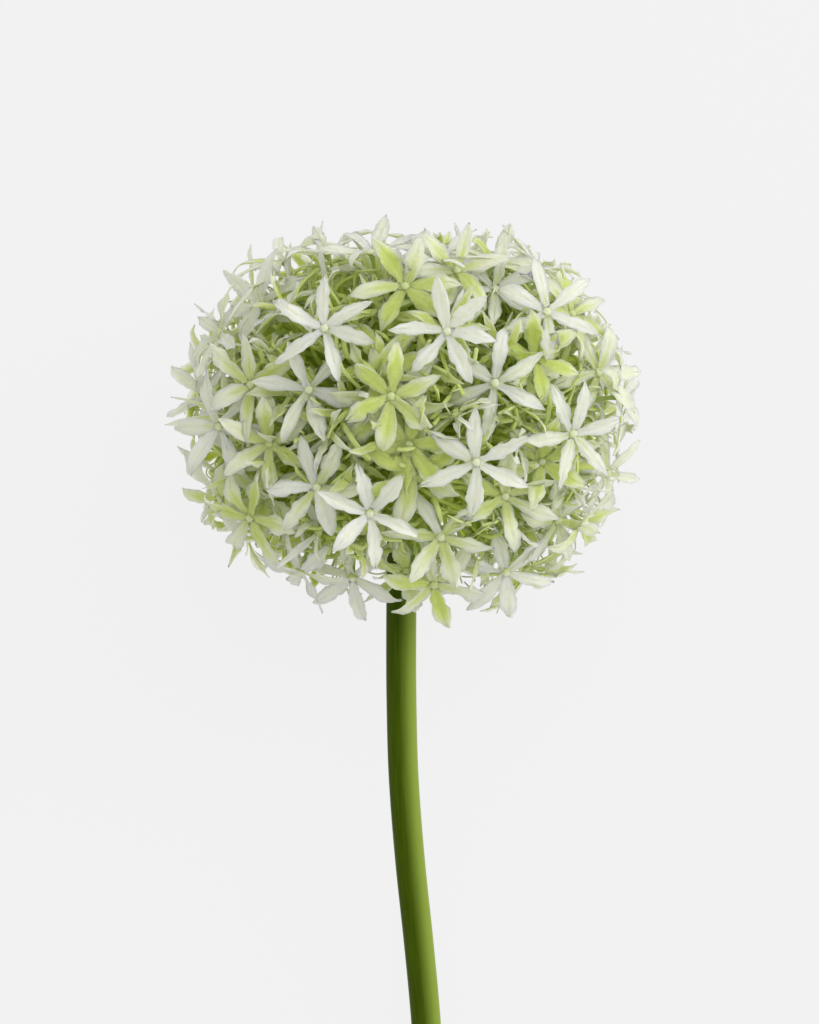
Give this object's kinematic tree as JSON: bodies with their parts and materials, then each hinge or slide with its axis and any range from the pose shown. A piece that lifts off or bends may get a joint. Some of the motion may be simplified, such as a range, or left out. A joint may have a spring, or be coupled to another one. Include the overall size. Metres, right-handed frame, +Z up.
{
  "type": "garlic flower head",
  "caption": "Round white and green garlic flower head of star-shaped florets on a cut length of stalk, lying on its side, for arrangements and displays.",
  "frame": {"origin": "middle of the part's bounding box, on the surface that the flower lies on", "axes": "+Z up from the surface; +Y along the stalk towards the top of the head; +X to the right as seen from above with the head at the top"},
  "size_m": [0.1086, 0.1933, 0.1038],
  "materials": {
    "stalk": "smooth, satin green skin with fine lengthwise streaks",
    "florets": "soft satin white petals, pale green to lime at their base"
  },
  "bodies": {
    "root": {"stalk": "stalk", "umbel": "florets"}
  },
  "joints": []
}
